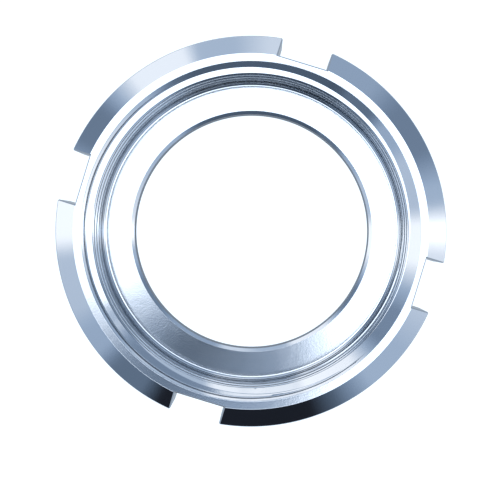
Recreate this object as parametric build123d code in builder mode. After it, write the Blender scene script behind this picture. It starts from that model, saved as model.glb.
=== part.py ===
from build123d import *
import os
from math import acos, cos, degrees, radians, sin, sqrt, tan

# Slotted round union nut for a round-thread pipe union, turned and milled from one piece.
# Millimetres. Origin at the centre of the back face, +Z towards the threaded opening.

# Round thread. The shares are of its pitch.
inch = 25.4
nominal_diameter = 65
threads_per_inch = 6
half_flank_angle = 15
root_clearance = 0.7  # radial, outside the nominal diameter
root_share = 0.472  # width of the groove's bottom, between the flanks
corner_share = 0.083  # break of the bottom's corners, along the bottom and along the flank
height_share = 0.461  # height of the ridges
crest_share = 0.18  # radius of the ridges' crests
land_share = 0.5  # of a crest land's half width, how far a cut reaches in, clear of the next turn's
thread_start_angle = 296  # where the groove's middle leaves through the front face
runout_turns = 0.25  # turns over which the groove fades out at its deep end
runout_clearance = 0.1  # how far off the bored wall the groove's faded end lies

# Turned body
height = 21
rim_thickness = 6.5  # from the thread's nominal diameter to the outer diameter
bevel_width = 3.7  # radial width of the bevels on both outer edges
bevel_angle = 30  # from the end face
rim_edge_radius = 0.3
mouth_margin = 1.17  # radius of the entry chamfer over the nominal radius
shoulder_thickness = 5
shoulder_corner_radius = 1
plain_wall = 3.2  # from the shoulder to the groove's middle where the groove ends
bore_diameter = 49
bore_chamfer = 0.7  # radial width of the chamfer from the shoulder
bore_chamfer_angle = 30  # from the shoulder
bore_back_chamfer = 0.3

# Spanner slots
slot_count = 4
slot_width = 10.2
slot_depth = 4.1
slot_edge_break = 0.25
edge_break_angle = 45

# Thread form: the flanks of a ridge would meet in a point, and the rounding touches both
pitch = inch / threads_per_inch
root_width = root_share * pitch
root_corner_break = corner_share * pitch
ridge_height = height_share * pitch
crest_radius = crest_share * pitch
root_radius = nominal_diameter / 2 + root_clearance
bored_radius = root_radius - ridge_height
point_radius = root_radius - (pitch - root_width) / 2 / tan(radians(half_flank_angle))
crest_centre = point_radius + crest_radius / sin(radians(half_flank_angle))
land_angle = degrees(acos((crest_centre - bored_radius) / crest_radius))

# Body
outer_radius = nominal_diameter / 2 + rim_thickness
face_radius = outer_radius - bevel_width
mouth_radius = nominal_diameter / 2 + mouth_margin
bore_radius = bore_diameter / 2
bore_chamfer_drop = bore_chamfer * tan(radians(bore_chamfer_angle))
bevel_drop = bevel_width * tan(radians(bevel_angle))
mouth_depth = mouth_radius - bored_radius
floor_distance = outer_radius - slot_depth  # from the axis to a slot's flat floor
wall_rim_distance = sqrt(outer_radius**2 - (slot_width / 2) ** 2)  # to where a slot wall meets the rim
wall_bevel_distance = sqrt(face_radius**2 - (slot_width / 2) ** 2)  # to where it meets the bevel
groove_end = shoulder_thickness + plain_wall
groove_end_angle = thread_start_angle - 360 * (height - groove_end) / pitch
seam_angle = groove_end_angle + 180 * runout_turns  # where the turned faces close, amid the run-out


def axial_plane(angle, rise=0.0):
    """The half plane from the axis at an angle, with X outwards and Y up."""
    return Plane(Location((0, 0, rise), (0, 0, angle)) * Plane.XZ.location)


def groove_section(turns, inward=0.0):
    """The groove's section in the axial plane so many turns up, reaching into the lands beside it."""
    with BuildSketch(axial_plane(360 * turns, turns * pitch)) as section:
        with BuildLine():
            crest = CenterArc(
                (crest_centre - inward, pitch / 2),
                crest_radius,
                270 - half_flank_angle,
                half_flank_angle + land_share * land_angle - 90,
            )
            bottom = root_radius - inward
            corner = (bottom, root_width / 2)
            flank = PolarLine(corner, root_corner_break, 180 - half_flank_angle, mode=Mode.PRIVATE)
            Polyline((bottom, 0), (bottom, root_width / 2 - root_corner_break), flank @ 1, crest @ 0)
            Polyline(crest @ 1, (crest @ 1) - (crest_radius, 0), ((crest @ 1).X - crest_radius, 0))
            mirror(about=Plane.XZ)
        make_face()
    return section.sketch.face()


# The fading end of the groove, which leaves the metal inwards
with BuildPart() as groove_runout:
    with BuildLine() as runout_path:
        Helix(pitch, runout_turns * pitch, bored_radius)
    faded = groove_section(0, inward=ridge_height + runout_clearance)
    full = groove_section(runout_turns)
    sweep([faded, full], path=runout_path.line, multisection=True, is_frenet=True)

# The full groove, up to one turn above the front face
with BuildPart() as groove:
    with BuildLine() as groove_path:
        Helix(pitch, height - groove_end + (1 - runout_turns) * pitch, bored_radius)
    sweep(groove_section(0), path=groove_path.line, is_frenet=True)

# What the cutter takes out for one slot, on +X, with its broken edges
with BuildPart() as slot:
    with BuildSketch():
        with BuildLine():
            Polyline(
                (floor_distance, 0),
                (floor_distance, slot_width / 2),
                (wall_rim_distance - slot_edge_break, slot_width / 2),
                (wall_rim_distance + slot_depth, slot_width / 2 + slot_depth + slot_edge_break),
                (wall_rim_distance + slot_depth, 0),
            )
            mirror(about=Plane.XZ)
        make_face()
    extrude(amount=height)
    tilt = radians(bevel_angle)
    on_face = Plane(origin=(floor_distance, 0, height))
    on_bevel = Plane(
        origin=(wall_bevel_distance, 0, height),
        x_dir=(cos(tilt), 0, -sin(tilt)),
        z_dir=(sin(tilt), 0, cos(tilt)),
    )
    for surface in (on_face, on_bevel):
        with BuildSketch(surface.offset(-slot_edge_break)):
            Rectangle(2 * slot_depth, slot_width, align=(Align.MIN, Align.CENTER))
        extrude(amount=2 * slot_edge_break, taper=-edge_break_angle)
    mirror(about=Plane.XY.offset(height / 2))

with BuildPart() as union_nut:
    # Corners of the turned section, each with its radius
    corners = [
        ((bore_radius + bore_back_chamfer, 0), 0),
        ((face_radius, 0), 0),
        ((outer_radius, bevel_drop), rim_edge_radius),
        ((outer_radius, height - bevel_drop), rim_edge_radius),
        ((face_radius, height), 0),
        ((mouth_radius, height), 0),
        ((bored_radius, height - mouth_depth), 0),
        ((bored_radius, shoulder_thickness), shoulder_corner_radius),
        ((bore_radius + bore_chamfer, shoulder_thickness), 0),
        ((bore_radius, shoulder_thickness - bore_chamfer_drop), 0),
        ((bore_radius, bore_back_chamfer), 0),
    ]
    points = [point for point, _ in corners]
    radii = [radius for _, radius in corners]
    with BuildSketch(axial_plane(seam_angle)):
        with BuildLine():
            FilletPolyline(points, radius=radii, close=True)
        make_face()
    revolve(axis=Axis.Z)

    # Slots, milled through the full height
    with PolarLocations(0, slot_count):
        add(slot.part, mode=Mode.SUBTRACT)

    # Thread
    with Locations(Location((0, 0, groove_end), (0, 0, groove_end_angle))):
        add(groove_runout.part, mode=Mode.SUBTRACT)
    runout_end = groove_end + runout_turns * pitch
    with Locations(Location((0, 0, runout_end), (0, 0, groove_end_angle + 360 * runout_turns))):
        add(groove.part, mode=Mode.SUBTRACT)

union_nut.part.label = "union_nut"

os.makedirs("parts", exist_ok=True)
export_step(union_nut.part, "parts/union_nut.step")
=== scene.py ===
from math import cos, radians, sin, sqrt, tan

import bmesh
import bpy
import numpy as np
from mathutils import Matrix


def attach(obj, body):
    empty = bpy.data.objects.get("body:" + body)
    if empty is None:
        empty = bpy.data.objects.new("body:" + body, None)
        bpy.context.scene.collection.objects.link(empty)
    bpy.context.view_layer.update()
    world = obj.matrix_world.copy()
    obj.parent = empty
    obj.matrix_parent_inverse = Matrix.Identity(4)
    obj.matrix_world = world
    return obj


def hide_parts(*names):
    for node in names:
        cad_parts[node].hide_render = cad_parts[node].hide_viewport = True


# Looks of the slotted union nut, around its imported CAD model, in the model's own frame: it lies on
# its back face, with +Z through the threaded opening.

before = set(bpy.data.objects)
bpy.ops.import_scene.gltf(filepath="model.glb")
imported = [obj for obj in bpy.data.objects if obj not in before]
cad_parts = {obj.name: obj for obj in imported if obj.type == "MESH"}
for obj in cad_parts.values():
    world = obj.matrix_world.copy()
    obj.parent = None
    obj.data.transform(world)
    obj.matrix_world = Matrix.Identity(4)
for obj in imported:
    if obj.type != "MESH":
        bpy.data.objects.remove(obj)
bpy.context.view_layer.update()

# Camera, in metres: straight above the nut, turned so that the picture's right is at this azimuth
VIEW_AZIMUTH = radians(17)
CAMERA_HEIGHT = 0.303
CAMERA_OFFSET_RIGHT = 0.0027
SENSOR_WIDTH = 36.0
FOCAL_LENGTH = 102.6
SHIFT_RIGHT = -0.0289
SHIFT_UP = -0.0376

# Floor and backdrop
FLOOR_SIZE = 3.0
FLOOR_COLOUR = (0.09, 0.12, 0.16, 1)
FLOOR_ROUGHNESS = 0.8
FLOOR_SPECULAR = 0.2
FLOOR_TINT = (0.85, 0.93, 1.0, 1)
FLOOR_GLOW = 1.18
FLOOR_RISE = 0.01e-3  # keeps the back face clear of the floor when it is looked at from below
MIRRORED_GLOW = (0.2, 0.42)  # as the steel sees it, inside the nut and around it: the lower glow inside is painted shade in the bore
MIRRORED_LIMIT = (0.026, 0.034)  # radii over which the one turns into the other
BACKDROP = (1.0, 1.0, 1.0, 1)

# Studio, in degrees: azimuths run counter-clockwise from the picture's right, heights are angles off
# the zenith, and shades run from 0 (black) to 1 (white). Stops are (azimuth, shade).

# Each card of the wall is (first azimuth, last azimuth, shade), and the gaps between them blend
WALL_CARDS = (
    (0, 2, 1.0),
    (9, 14, 0.66),
    (25, 40, 0.45),
    (50, 73, 0.59),
    (77, 85, 0.80),
    (95, 107, 0.68),
    (111, 128, 0.89),
    (141, 152, 0.43),
    (170, 182, 0.95),
    (188, 204, 0.71),
    (211, 218, 0.63),
    (224, 235, 0.39),
    (241, 288, 0.10),
    (300, 300, 0.45),
    (308, 322, 0.66),
    (342, 342, 0.78),
    (353, 353, 0.84),
    (358, 358, 1.0),
)
UPPER_LIMIT = (26, 34)  # over which the white ceiling turns into the wall
WALL_HEAD = (42, 51)  # over which the wall's darker upper part ends
HEAD_SHADE = 0.72
LIT_HEAD = (58, 64)  # over which the dark part of the wall gets lighter upwards
HEAD_STOPS = ((0, 0), (236, 0), (242, 0.2), (288, 0.2), (297, 0))  # how much lighter
LIT_FOOT = (70, 80)  # over which the foot of the wall gets lighter
FOOT_STOPS = (  # how much lighter
    (0, 0.09),
    (20, 0.1),
    (27, 0.19),
    (48, 0.17),
    (56, 0.1),
    (88, 0.1),
    (93, 0.2),
    (106, 0.2),
    (112, 0.04),
    (138, 0),
    (143, 0.06),
    (154, 0.06),
    (160, 0),
    (236, 0),
    (242, 0.22),
    (288, 0.22),
    (297, 0.02),
    (312, 0.02),
    (320, 0.13),
    (352, 0.16),
    (360, 0.09),
)
PLAIN_PART = ((0, 1), (3, 1), (9, 0), (349, 0), (356, 1))  # 1 where it is white from top to foot
HORIZON = (86, 88)  # over which the wall ends in a dark skirting
SKIRTING = 0.35
GROUND = (98, 112)  # over which it gets light again below, for the underside
GROUND_SHADE = 0.72

# The dark table in front of the nut, below the picture, close to the zenith
TABLE_STOPS = (
    (0, 1),
    (203, 1),
    (210, 0.74),
    (218, 0.66),
    (224, 0.4),
    (233, 0.26),
    (255, 0.26),
    (259, 0.43),
    (282, 0.45),
    (292, 0.78),
    (300, 1),
)
TABLE_NEAR = (2.5, 4.0)  # over which it starts
TABLE_STEP = (6.0, 6.8)  # over which it turns by the skew and gets lighter
TABLE_SKEW = 8
TABLE_LIGHTER = 0.14
TABLE_FAR = (10, 14)  # over which it ends

# A blue-grey panel up to the right, between the ceiling and the wall
PANEL_STOPS = (
    (0, 1),
    (31, 1),
    (36, 0.64),
    (40, 0.6),
    (42, 0.92),
    (44, 0.6),
    (50, 0.47),
    (84, 0.47),
    (86, 0.86),
    (110, 0.9),
    (120, 1),
)
PANEL_NEAR = (15, 18)  # over which it starts
PANEL_FAR = (28, 32)  # over which it ends

CAMERA_SPOT = (2.2, 3.2)  # the dark camera straight above, and its soft edge
CAMERA_SHADE = 0.1
TINTS = (  # colours of the shades
    (0.0, (0.0, 0.0, 0.0, 1)),
    (0.12, (0.012, 0.014, 0.02, 1)),
    (0.34, (0.075, 0.105, 0.15, 1)),
    (0.50, (0.177, 0.235, 0.325, 1)),
    (0.65, (0.312, 0.39, 0.505, 1)),
    (0.80, (0.58, 0.63, 0.71, 1)),
    (0.92, (0.88, 0.89, 0.92, 1)),
    (0.97, (0.95, 0.97, 1.0, 1)),
    (1.0, (0.84, 0.93, 1.06, 1)),
)
STRENGTH = 1.72
CEILING_BOOST = 1.6  # of the pure white, over the walls
PURE_WHITE = (0.96, 1.0)  # shades over which it sets in

# Steel: heights of its unevenness in metres, and scales of the noise behind it
STEEL = (0.575, 0.61, 0.65, 1)
TURNED_HEIGHT = 0.6e-6
TURNED_SCALE = 6000
TURNED_SLANT = 1.37  # share of the height in the marks' path, so that they cross walls and cones too
PIT_HEIGHT = 2e-6
PIT_SCALE = 3500
WAVE_HEIGHT = 3e-6
WAVE_SCALE = 350
SMEAR_SCALE = 60
ROUGHNESS = 0.05
SMEAR_ROUGHNESS = 0.05  # added where it is smeared
MARK_ROUGHNESS = 0.03  # added by the turning marks

# Sizes of the nut in millimetres, as in its CAD source
PITCH = 25.4 / 6
FLANK_ANGLE = radians(15)
ROOT_RADIUS = 33.2
ROOT_WIDTH = 0.472 * PITCH
CORNER_LENGTH = 0.083 * PITCH
RIDGE_HEIGHT = 0.461 * PITCH
CREST_RADIUS = 0.18 * PITCH
THREAD_START = 296.0  # azimuth in degrees where the groove's middle leaves through the front face
RUNOUT_TURNS = 0.25
RUNOUT_CLEARANCE = 0.1
HEIGHT = 21.0
GROOVE_END = 8.2
MOUTH_RADIUS = 33.67
OUTER_RADIUS = 39.0
FACE_RADIUS = 35.3
BEVEL_TILT = radians(30)
BEVEL_DROP = (OUTER_RADIUS - FACE_RADIUS) * tan(BEVEL_TILT)
SHOULDER = 5.0
SHOULDER_CORNER = 1.0
BORE_RADIUS = 24.5
BORE_CHAMFER = 0.7
BORE_CHAMFER_DROP = BORE_CHAMFER * tan(radians(30))
BACK_CHAMFER = 0.3
SLOT_COUNT = 4
FLOOR_DISTANCE = 34.9
SLOT_WIDTH = 10.2
SLOT_DEPTH = 4.1
SLOT_BREAK = 0.25

# Small roundings that the CAD leaves out, in millimetres
RIM_ROUNDING = 0.3
FACE_ROUNDING = 0.25
BORE_ROUNDING = 0.1
RUNOUT_BLEND = 0.02  # between the bored wall and the groove
MOUTH_BLEND = 0.06  # between the entry chamfer and the thread

# The fine mesh
COLUMNS = 600
CORNER_ROWS = 5
FLANK_ROWS = 3
CREST_ROWS = 6
CREST_END = radians(68)  # how far up the crest's arc the rows go
SCAN_STEP = 0.01  # of the search for the edges inside
EDGE_STEPS = (0.03, 0.07)  # rows beside each edge inside, for its rounding
ROW_GAPS = (0.01, 0.02, 0.04)  # least gaps of the edges, of the rows beside them and of the rest
STEP_ANGLE = radians(12)  # of a rounding's facets
LEAST_STEPS = 3
CUT_MARGIN = 1  # of the slot cutter, over the nut's height

# True normals
WALL_MARGIN = 0.05  # of the radius, at the threaded wall's foot
TOP_MARGIN = 0.001  # of the radius, at its upper end
RISE_STEP = 0.02  # in millimetres up and down, for the slope of the wall
TURN_STEP = 0.05  # in degrees to both sides, for the same
MILLED_DISTANCE = 0.03  # off the turned surface, from which a face is a milled one
MILLED_ANGLE = radians(15)  # off its normal, likewise

BORED_RADIUS = ROOT_RADIUS - RIDGE_HEIGHT
FLANK_POINT = ROOT_RADIUS - (PITCH - ROOT_WIDTH) / 2 / tan(FLANK_ANGLE)  # where two flanks would meet
CREST_CENTRE = FLANK_POINT + CREST_RADIUS / sin(FLANK_ANGLE)
CORNER_RADIUS = CORNER_LENGTH / tan((radians(90) - FLANK_ANGLE) / 2)


def soft_max(a, b, blend):
    """The larger of two, rounded off where they are nearly the same."""
    near = np.clip(1 - np.abs(a - b) / blend, 0, 1)
    return np.maximum(a, b) + near**2 * blend / 4


def groove_radius(offset):
    """The thread groove's radius so far above or below its middle."""
    s = np.abs(offset)
    flank = ROOT_RADIUS - (s - ROOT_WIDTH / 2) / tan(FLANK_ANGLE)
    start = ROOT_WIDTH / 2 - CORNER_LENGTH
    end = ROOT_WIDTH / 2 + CORNER_LENGTH * sin(FLANK_ANGLE)
    across = np.clip(s - start, 0, CORNER_RADIUS)
    corner = ROOT_RADIUS - CORNER_RADIUS + np.sqrt(CORNER_RADIUS**2 - across**2)
    radius = np.where(s < end, corner, flank)
    below_crest = np.clip(PITCH / 2 - s, 0, CREST_RADIUS)
    crest = CREST_CENTRE - np.sqrt(CREST_RADIUS**2 - below_crest**2)
    return np.where(below_crest < CREST_RADIUS * cos(FLANK_ANGLE), crest, radius)


def groove_middle(angle):
    """Height of the groove's middle at an azimuth in degrees, on its last turn."""
    return HEIGHT - (THREAD_START - angle) / 360 * PITCH


def inside_radii(angle, z):
    """Radii of the bored wall, of the groove and of the entry chamfer, at azimuths in degrees."""
    middle = groove_middle(angle)
    middle = middle + np.round((z - middle) / PITCH) * PITCH
    depth = np.clip((middle - GROOVE_END) / (RUNOUT_TURNS * PITCH), 0, 1)
    groove = groove_radius(z - middle) - (1 - depth) * (RIDGE_HEIGHT + RUNOUT_CLEARANCE)
    groove = np.where(middle < GROOVE_END, 0, groove)
    return BORED_RADIUS + 0 * z, groove, MOUTH_RADIUS - HEIGHT + z


def inside_radius(angle, z):
    bored, groove, mouth = inside_radii(angle, z)
    return soft_max(soft_max(bored, groove, RUNOUT_BLEND), mouth, MOUTH_BLEND)


def rounded_profile(corners):
    """Points and normals of a turned profile with rounded corners, metal on the right of its path."""
    points = []
    normals = []
    for before, (at, radius), after in zip(corners, corners[1:], corners[2:]):
        at = np.array(at)
        along = at - np.array(before[0])
        onward = np.array(after[0]) - at
        along = along / np.hypot(*along)
        onward = onward / np.hypot(*onward)
        turn = np.arctan2(along[0] * onward[1] - along[1] * onward[0], along @ onward)
        reach = radius * tan(abs(turn) / 2)
        normal = np.array((-along[1], along[0]))
        side = 1 if turn < 0 else -1
        centre = at - along * reach - side * radius * normal
        steps = max(LEAST_STEPS, int(np.ceil(abs(turn) / STEP_ANGLE)))
        for step in range(steps + 1):
            part = turn * step / steps
            outward = normal[0] * cos(part) - normal[1] * sin(part)
            upward = normal[0] * sin(part) + normal[1] * cos(part)
            turned = np.array((outward, upward))
            points.append(centre + side * radius * turned)
            normals.append(turned)
    return np.array(points), np.array(normals)


PROFILE = rounded_profile(
    (
        ((BORED_RADIUS, HEIGHT - MOUTH_RADIUS + BORED_RADIUS), 0),
        ((MOUTH_RADIUS, HEIGHT), RIM_ROUNDING),
        ((FACE_RADIUS, HEIGHT), FACE_ROUNDING),
        ((OUTER_RADIUS, HEIGHT - BEVEL_DROP), RIM_ROUNDING),
        ((OUTER_RADIUS, BEVEL_DROP), RIM_ROUNDING),
        ((FACE_RADIUS, 0), FACE_ROUNDING),
        ((BORE_RADIUS + BACK_CHAMFER, 0), BORE_ROUNDING),
        ((BORE_RADIUS, BACK_CHAMFER), BORE_ROUNDING),
        ((BORE_RADIUS, SHOULDER - BORE_CHAMFER_DROP), BORE_ROUNDING),
        ((BORE_RADIUS + BORE_CHAMFER, SHOULDER), BORE_ROUNDING),
        ((BORED_RADIUS, SHOULDER), SHOULDER_CORNER),
        ((BORED_RADIUS, HEIGHT), 0),
    )
)


def section_offsets():
    """Heights of the rows over the groove's section, from one ridge's crest to the next."""
    start = ROOT_WIDTH / 2 - CORNER_LENGTH
    turn = np.linspace(0, radians(90) - FLANK_ANGLE, CORNER_ROWS)
    corner = start + CORNER_RADIUS * np.sin(turn)
    crest = PITCH / 2 - CREST_RADIUS * np.cos(np.linspace(FLANK_ANGLE, CREST_END, CREST_ROWS))
    flank = np.linspace(corner[-1], crest[0], FLANK_ROWS + 2)[1:-1]
    half = np.concatenate((corner, flank, crest))
    return np.concatenate((-half[::-1], half))


def column_heights(angle, low, high):
    """Heights of one column's rows over the threaded wall: its edges, beside them, and the rest."""
    z = np.arange(low, high, SCAN_STEP)
    radii = np.array(inside_radii(angle, z))
    owner = radii.argmax(axis=0)
    edges = []
    for i in np.nonzero(owner[1:] != owner[:-1])[0]:
        a, b = owner[i], owner[i + 1]
        first = radii[a, i] - radii[b, i]
        second = radii[b, i + 1] - radii[a, i + 1]
        edges.append(z[i] + (z[i + 1] - z[i]) * first / (first + second))
    beside = [edge + side * step for step in EDGE_STEPS for edge in edges for side in (-1, 1)]
    middle = groove_middle(angle)
    regular = []
    for turn in range(-5, 3):
        centre = middle + turn * PITCH
        if centre > GROOVE_END:
            regular.extend(centre + section_offsets())
    kept = []
    for heights, gap in zip((edges, beside, regular), ROW_GAPS):
        for height in heights:
            inside = low + gap < height < high - gap
            if inside and all(abs(height - other) > gap for other in kept):
                kept.append(height)
    return sorted(kept)


def turned_mesh():
    """The nut before its slots are milled, as vertices in millimetres and faces."""
    points, _ = PROFILE
    low = points[-1][1]
    high = points[0][1]
    vertices = []
    rings = []
    insides = []
    for column in range(COLUMNS):
        angle = 360 * column / COLUMNS
        across = (cos(radians(angle)), sin(radians(angle)))
        first = len(vertices)
        vertices.extend((r * across[0], r * across[1], z) for r, z in points)
        ring = list(range(first, len(vertices)))
        heights = column_heights(angle, low, high)
        radii = inside_radius(angle, np.array(heights))
        inside = [(low, ring[-1])]
        for radius, height in zip(radii, heights):
            inside.append((height, len(vertices)))
            vertices.append((radius * across[0], radius * across[1], height))
        inside.append((high, ring[0]))
        rings.append(ring)
        insides.append(inside)
    faces = []
    for column in range(COLUMNS):
        ring, other = rings[column], rings[(column + 1) % COLUMNS]
        for row in range(len(ring) - 1):
            faces.append((ring[row], ring[row + 1], other[row + 1], other[row]))
        faces.extend(stitch(insides[column], insides[(column + 1) % COLUMNS]))
    return np.array(vertices), faces


def stitch(inside, beyond):
    """Triangles between two columns of (height, vertex), whose rows need not match."""
    faces = []
    last, last_beyond = len(inside) - 1, len(beyond) - 1
    i = j = 0
    while i < last or j < last_beyond:
        rise_here = i < last and (j == last_beyond or inside[i + 1][0] <= beyond[j + 1][0])
        if rise_here:
            faces.append((inside[i][1], inside[i + 1][1], beyond[j][1]))
            i += 1
        else:
            faces.append((inside[i][1], beyond[j + 1][1], beyond[j][1]))
            j += 1
    return faces


def block(name, vertices, faces):
    """A helper solid, in millimetres, with its faces turned outwards."""
    mesh = bpy.data.meshes.new(name)
    mesh.from_pydata([tuple(v) for v in vertices], [], faces)
    shape = bmesh.new()
    shape.from_mesh(mesh)
    bmesh.ops.recalc_face_normals(shape, faces=shape.faces)
    shape.to_mesh(mesh)
    shape.free()
    thing = bpy.data.objects.new(name, mesh)
    bpy.context.scene.collection.objects.link(thing)
    return thing


def sides(count):
    """Side faces between two outlines of so many corners, one after the other."""
    return [(i, (i + 1) % count, (i + 1) % count + count, i + count) for i in range(count)]


def combine(target, tools, operation):
    """Joins the tools to the target or cuts them out of it, and removes them."""
    for tool in tools:
        modifier = target.modifiers.new("combine", "BOOLEAN")
        modifier.operation = operation
        modifier.solver = "EXACT"
        modifier.object = tool
    depsgraph = bpy.context.evaluated_depsgraph_get()
    mesh = bpy.data.meshes.new_from_object(target.evaluated_get(depsgraph))
    target.modifiers.clear()
    target.data = mesh
    for tool in tools:
        bpy.data.objects.remove(tool)


def flared_block(name, origin, along, up):
    """The cutter of a slot's broken edges where it meets a flat face or a bevel."""
    origin, along, up = np.array(origin), np.array(along), np.array(up)
    aside = np.array((0.0, 1.0, 0.0))
    corners = []
    for lift in (-1, 1):
        grow = (1 + lift) * SLOT_BREAK
        for x, y in ((0, -1), (1, -1), (1, 1), (0, 1)):
            reach = 2 * SLOT_DEPTH * x + grow * (2 * x - 1)
            wide = y * (SLOT_WIDTH / 2 + grow)
            corners.append(origin + lift * SLOT_BREAK * up + reach * along + wide * aside)
    return block(name, corners, [(0, 1, 2, 3), (4, 5, 6, 7)] + sides(4))


def slot_cutter():
    """What is milled out for the four slots, with their broken edges."""
    half = SLOT_WIDTH / 2
    rim = sqrt(OUTER_RADIUS**2 - half**2)
    bevel = sqrt(FACE_RADIUS**2 - half**2)
    wide = half + SLOT_DEPTH + SLOT_BREAK
    outline = [
        (FLOOR_DISTANCE, -half),
        (rim - SLOT_BREAK, -half),
        (rim + SLOT_DEPTH, -wide),
        (rim + SLOT_DEPTH, wide),
        (rim - SLOT_BREAK, half),
        (FLOOR_DISTANCE, half),
    ]
    count = len(outline)
    corners = [(x, y, z) for z in (-CUT_MARGIN, HEIGHT + CUT_MARGIN) for x, y in outline]
    ends = [tuple(range(count)), tuple(range(count, 2 * count))]
    cutter = block("slot_cutter", corners, ends + sides(count))
    along, up = (cos(BEVEL_TILT), 0, -sin(BEVEL_TILT)), (sin(BEVEL_TILT), 0, cos(BEVEL_TILT))
    low_along, low_up = (along[0], 0, -along[2]), (up[0], 0, -up[2])
    combine(
        cutter,
        [
            flared_block("face_break", (FLOOR_DISTANCE, 0, HEIGHT), (1, 0, 0), (0, 0, 1)),
            flared_block("bevel_break", (bevel, 0, HEIGHT), along, up),
            flared_block("back_face_break", (FLOOR_DISTANCE, 0, 0), (1, 0, 0), (0, 0, -1)),
            flared_block("back_bevel_break", (bevel, 0, 0), low_along, low_up),
        ],
        "UNION",
    )
    shape = bmesh.new()
    for slot in range(SLOT_COUNT):
        copy = cutter.data.copy()
        copy.transform(Matrix.Rotation(radians(360 * slot / SLOT_COUNT), 4, "Z"))
        shape.from_mesh(copy)
    shape.to_mesh(cutter.data)
    shape.free()
    return cutter


def on_profile(radius, z):
    """The turned profile's normals nearest to points, as radial and upward parts, and the distances."""
    points, normals = PROFILE
    best = np.full(radius.shape, np.inf)
    found = np.zeros(radius.shape + (2,))
    here = np.stack((radius, z), axis=-1)
    for a, b, normal_a, normal_b in zip(points, points[1:], normals, normals[1:]):
        span = b - a
        share = np.clip((here - a) @ span / (span @ span), 0, 1)[:, None]
        away = np.hypot(*(here - a - share * span).T)
        nearer = away < best
        best = np.where(nearer, away, best)
        found[nearer] = (normal_a * (1 - share) + normal_b * share)[nearer]
    return found, best


def true_normals(places):
    """Normals of the turned and threaded surface at places on it, and how far off it they are."""
    x, y, z = places.T
    radius = np.hypot(x, y)
    angle = np.degrees(np.arctan2(y, x))
    section, away = on_profile(radius, z)
    cosine, sine = x / radius, y / radius
    normals = np.stack((section[:, 0] * cosine, section[:, 0] * sine, section[:, 1]), axis=-1)
    points, _ = PROFILE
    wall = (radius < points[0][0] + TOP_MARGIN) & (radius > points[-1][0] - WALL_MARGIN)
    wall &= (z > points[-1][1]) & (z < points[0][1])
    above, below = inside_radius(angle, z + RISE_STEP), inside_radius(angle, z - RISE_STEP)
    rise = (above - below) / (2 * RISE_STEP)
    ahead, behind = inside_radius(angle + TURN_STEP, z), inside_radius(angle - TURN_STEP, z)
    onward = (ahead - behind) / radians(2 * TURN_STEP) / radius
    inward = np.stack((-cosine - onward * sine, -sine + onward * cosine, rise), axis=-1)
    normals[wall] = inward[wall]
    away = np.where(wall, np.abs(radius - inside_radius(angle, z)), away)
    return normals / np.linalg.norm(normals, axis=1)[:, None], away


def values_of(items, name, width=1, kind=float):
    """One property of all of a mesh's parts, as an array with a row for each."""
    values = np.zeros(width * len(items), dtype=kind)
    items.foreach_get(name, values)
    return values.reshape(-1, width) if width > 1 else values


def add_nut():
    """The nut's fine mesh, with the exact normals of its surfaces."""
    vertices, faces = turned_mesh()
    body = block("turned_nut", vertices, faces)
    combine(body, [slot_cutter()], "DIFFERENCE")
    mesh = body.data
    mesh.polygons.foreach_set("use_smooth", np.ones(len(mesh.polygons), dtype=bool))
    loop_vertex = values_of(mesh.loops, "vertex_index", kind=int)
    loop_counts = values_of(mesh.polygons, "loop_total", kind=int)
    loop_polygon = np.repeat(np.arange(len(mesh.polygons)), loop_counts)
    flat = values_of(mesh.polygons, "normal", 3)
    centre_normals, away = true_normals(values_of(mesh.polygons, "center", 3))
    aligned = (centre_normals * flat).sum(axis=1)
    milled = (away > MILLED_DISTANCE) | (aligned < cos(MILLED_ANGLE))
    normals, _ = true_normals(values_of(mesh.vertices, "co", 3))
    chosen = np.where(milled[loop_polygon][:, None], flat[loop_polygon], normals[loop_vertex])
    mesh.normals_split_custom_set(chosen.tolist())
    mesh.transform(Matrix.Scale(0.001, 4))
    return body


def wire(tree, kind, values=(), **settings):
    """Adds a node with its settings, and sets or links its first inputs."""
    new = tree.nodes.new(kind)
    for name, value in settings.items():
        setattr(new, name, value)
    for socket, value in zip(new.inputs, values):
        if isinstance(value, bpy.types.NodeSocket):
            tree.links.new(value, socket)
        elif value is not None:
            socket.default_value = value
    return new


def maths(tree, operation, *values):
    return wire(tree, "ShaderNodeMath", values, operation=operation).outputs[0]


def smooth(tree, value, low, high, to_low=0.0, to_high=1.0):
    """A soft step of the value, from one number at low to another at high."""
    ends = (value, low, high, to_low, to_high)
    return wire(tree, "ShaderNodeMapRange", ends, interpolation_type="SMOOTHSTEP").outputs[0]


def ramp(tree, value, stops):
    """A colour ramp of (position, colour) stops, linear between them."""
    node = wire(tree, "ShaderNodeValToRGB", (value,))
    elements = node.color_ramp.elements
    while len(elements) > 1:
        elements.remove(elements[-1])
    elements[0].position = stops[0][0]
    elements[0].color = stops[0][1]
    for position, colour in stops[1:]:
        elements.new(position).color = colour
    return node.outputs[0]


def sectors(tree, azimuth, stops):
    """Shades around the studio, as (azimuth in degrees, shade) stops."""
    return ramp(tree, azimuth, [(angle / 360, (shade, shade, shade, 1)) for angle, shade in stops])


def add_camera():
    data = bpy.data.cameras.new("camera")
    data.sensor_width = SENSOR_WIDTH
    data.lens = FOCAL_LENGTH
    data.shift_x = SHIFT_RIGHT
    data.shift_y = SHIFT_UP
    camera = bpy.data.objects.new("camera", data)
    camera.location = (
        CAMERA_OFFSET_RIGHT * cos(VIEW_AZIMUTH),
        CAMERA_OFFSET_RIGHT * sin(VIEW_AZIMUTH),
        CAMERA_HEIGHT,
    )
    camera.rotation_euler = (0, 0, VIEW_AZIMUTH)
    bpy.context.scene.collection.objects.link(camera)
    bpy.context.scene.camera = camera


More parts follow.
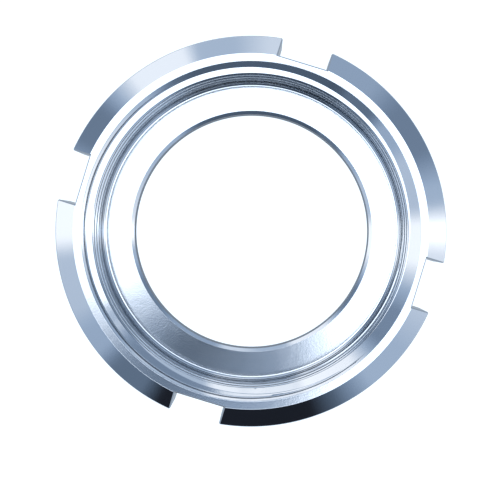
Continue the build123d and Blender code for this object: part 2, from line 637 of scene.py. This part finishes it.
def add_floor():
    mesh = bpy.data.meshes.new("floor")
    half = FLOOR_SIZE / 2
    outline = ((-half, -half), (half, -half), (half, half), (-half, half))
    mesh.from_pydata([(x, y, FLOOR_RISE) for x, y in outline], [], [(0, 1, 2, 3)])
    floor = bpy.data.objects.new("floor", mesh)
    bpy.context.scene.collection.objects.link(floor)
    material = bpy.data.materials.new("floor")
    material.use_nodes = True
    tree = material.node_tree
    shader = tree.nodes["Principled BSDF"]
    shader.inputs["Base Color"].default_value = FLOOR_COLOUR
    shader.inputs["Roughness"].default_value = FLOOR_ROUGHNESS
    shader.inputs["Specular IOR Level"].default_value = FLOOR_SPECULAR
    shader.inputs["Emission Color"].default_value = FLOOR_TINT
    direct = wire(tree, "ShaderNodeLightPath").outputs["Is Camera Ray"]
    place = wire(tree, "ShaderNodeTexCoord").outputs["Object"]
    radius = wire(tree, "ShaderNodeVectorMath", (place,), operation="LENGTH").outputs["Value"]
    # Painted shade: seen in the steel, the floor glows less inside the nut than around it
    glow_with_painted_shade = smooth(tree, radius, *MIRRORED_LIMIT, *MIRRORED_GLOW)
    glow = wire(tree, "ShaderNodeMapRange", (direct, 0, 1, glow_with_painted_shade, FLOOR_GLOW))
    tree.links.new(glow.outputs[0], shader.inputs["Emission Strength"])
    # Seen through from below, so that the back face can be looked at
    below = wire(tree, "ShaderNodeNewGeometry").outputs["Backfacing"]
    clear = wire(tree, "ShaderNodeBsdfTransparent")
    seen = wire(tree, "ShaderNodeMixShader", (below, shader.outputs[0], clear.outputs[0]))
    tree.links.new(seen.outputs[0], tree.nodes["Material Output"].inputs["Surface"])
    mesh.materials.append(material)


def wall_shade(tree, azimuth, zenith):
    """The cards around the nut, from their darker head to their lit foot and skirting."""
    stops = sorted({(angle, shade) for start, end, shade in WALL_CARDS for angle in (start, end)})
    wall = sectors(tree, azimuth, stops)
    foot = sectors(tree, azimuth, FOOT_STOPS)
    wall = maths(tree, "ADD", wall, smooth(tree, zenith, *LIT_FOOT, 0.0, foot))
    plain = sectors(tree, azimuth, PLAIN_PART)
    skirting = maths(tree, "MAXIMUM", plain, SKIRTING)
    wall = maths(tree, "MULTIPLY", wall, smooth(tree, zenith, *HORIZON, 1.0, skirting))
    head = sectors(tree, azimuth, HEAD_STOPS)
    wall = maths(tree, "ADD", wall, smooth(tree, zenith, *LIT_HEAD, head, 0.0))
    head_shade = maths(tree, "MAXIMUM", plain, HEAD_SHADE)
    wall = maths(tree, "MULTIPLY", wall, smooth(tree, zenith, *WALL_HEAD, head_shade, 1.0))
    return smooth(tree, zenith, *GROUND, wall, GROUND_SHADE)


def table_shade(tree, azimuth, zenith):
    """The dark table's two parts, with the white around it."""
    skew = smooth(tree, zenith, *TABLE_STEP, 0.0, TABLE_SKEW / 360)
    table = sectors(tree, maths(tree, "ADD", azimuth, skew), TABLE_STOPS)
    table = maths(tree, "ADD", table, smooth(tree, zenith, *TABLE_STEP, 0.0, TABLE_LIGHTER))
    near = smooth(tree, zenith, *TABLE_NEAR, 1.0, table)
    return smooth(tree, zenith, *TABLE_FAR, near, 1.0)


def panel_shade(tree, azimuth, zenith):
    panel = sectors(tree, azimuth, PANEL_STOPS)
    above = smooth(tree, zenith, *PANEL_NEAR, 1.0, panel)
    return smooth(tree, zenith, *PANEL_FAR, above, 1.0)


def add_studio():
    """A room of pale and blue-grey cards under a white ceiling, seen only in reflections."""
    world = bpy.data.worlds.new("studio")
    world.use_nodes = True
    tree = world.node_tree
    room = tree.nodes["Background"]
    direction = wire(tree, "ShaderNodeTexCoord").outputs["Generated"]
    turned = wire(tree, "ShaderNodeVectorRotate", (direction,), rotation_type="Z_AXIS")
    turned.inputs["Angle"].default_value = -VIEW_AZIMUTH
    axes = wire(tree, "ShaderNodeSeparateXYZ", (turned.outputs[0],)).outputs
    turn = maths(tree, "DIVIDE", maths(tree, "ARCTAN2", axes[1], axes[0]), radians(360))
    azimuth = maths(tree, "FRACT", turn)
    zenith = maths(tree, "DEGREES", maths(tree, "ARCCOSINE", axes[2]))

    shade = smooth(tree, zenith, *UPPER_LIMIT, 1.0, wall_shade(tree, azimuth, zenith))
    shade = maths(tree, "MINIMUM", shade, table_shade(tree, azimuth, zenith))
    shade = maths(tree, "MINIMUM", shade, panel_shade(tree, azimuth, zenith))
    spot = smooth(tree, zenith, *CAMERA_SPOT, CAMERA_SHADE, 1.0)
    shade = maths(tree, "MINIMUM", shade, spot)
    tree.links.new(ramp(tree, shade, TINTS), room.inputs["Color"])
    strength = smooth(tree, shade, *PURE_WHITE, STRENGTH, STRENGTH * CEILING_BOOST)
    tree.links.new(strength, room.inputs["Strength"])

    # Behind the object the picture shows a plain pale backdrop
    backdrop = wire(tree, "ShaderNodeBackground", (BACKDROP, 1.0))
    direct = wire(tree, "ShaderNodeLightPath").outputs["Is Camera Ray"]
    shown = wire(tree, "ShaderNodeMixShader", (direct, room.outputs[0], backdrop.outputs[0]))
    tree.links.new(shown.outputs[0], tree.nodes["World Output"].inputs["Surface"])
    bpy.context.scene.world = world


def noise(tree, place, scale, detail, roughness=0.5, dimensions="3D"):
    node = wire(tree, "ShaderNodeTexNoise", noise_dimensions=dimensions)
    for name, value in (("Scale", scale), ("Detail", detail), ("Roughness", roughness)):
        node.inputs[name].default_value = value
    tree.links.new(place, node.inputs["W" if dimensions == "1D" else "Vector"])
    return node.outputs["Fac"]


def bump(tree, height, distance, normal=None):
    """Normals bumped by a height, over those of another bump."""
    node = wire(tree, "ShaderNodeBump")
    node.inputs["Strength"].default_value = 1
    node.inputs["Distance"].default_value = distance
    tree.links.new(height, node.inputs["Height"])
    if normal is not None:
        tree.links.new(normal, node.inputs["Normal"])
    return node.outputs[0]


def steel():
    """Bright turned stainless steel: a mirror with concentric marks, tiny pits and faint smears."""
    material = bpy.data.materials.new("turned_stainless")
    material.use_nodes = True
    tree = material.node_tree
    shader = tree.nodes["Principled BSDF"]
    shader.inputs["Base Color"].default_value = STEEL
    shader.inputs["Metallic"].default_value = 1

    place = wire(tree, "ShaderNodeTexCoord").outputs["Object"]
    axes = wire(tree, "ShaderNodeSeparateXYZ", (place,)).outputs
    squares = [maths(tree, "MULTIPLY", axis, axis) for axis in (axes[0], axes[1])]
    radius = maths(tree, "SQRT", maths(tree, "ADD", *squares))
    # Runs across the turning marks on the end faces, the rim and all the cones
    across = maths(tree, "ADD", radius, maths(tree, "MULTIPLY", axes[2], TURNED_SLANT))
    marks = noise(tree, across, TURNED_SCALE, 3, 0.6, "1D")
    pits = noise(tree, place, PIT_SCALE, 1)
    waves = noise(tree, place, WAVE_SCALE, 2)
    smears = noise(tree, place, SMEAR_SCALE, 4)

    turned = bump(tree, marks, TURNED_HEIGHT)
    pitted = bump(tree, pits, PIT_HEIGHT, turned)
    waved = bump(tree, waves, WAVE_HEIGHT, pitted)
    tree.links.new(waved, shader.inputs["Normal"])

    rough = maths(tree, "MULTIPLY_ADD", smears, SMEAR_ROUGHNESS, ROUGHNESS)
    rough = maths(tree, "MULTIPLY_ADD", marks, MARK_ROUGHNESS, rough)
    tree.links.new(rough, shader.inputs["Roughness"])
    return material


add_camera()
add_floor()
add_studio()
nut = add_nut()
nut.name = "turned_union_nut"
nut.data.materials.clear()
nut.data.materials.append(steel())
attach(nut, "root")
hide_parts("union_nut")
bpy.context.scene.view_settings.view_transform = "Standard"
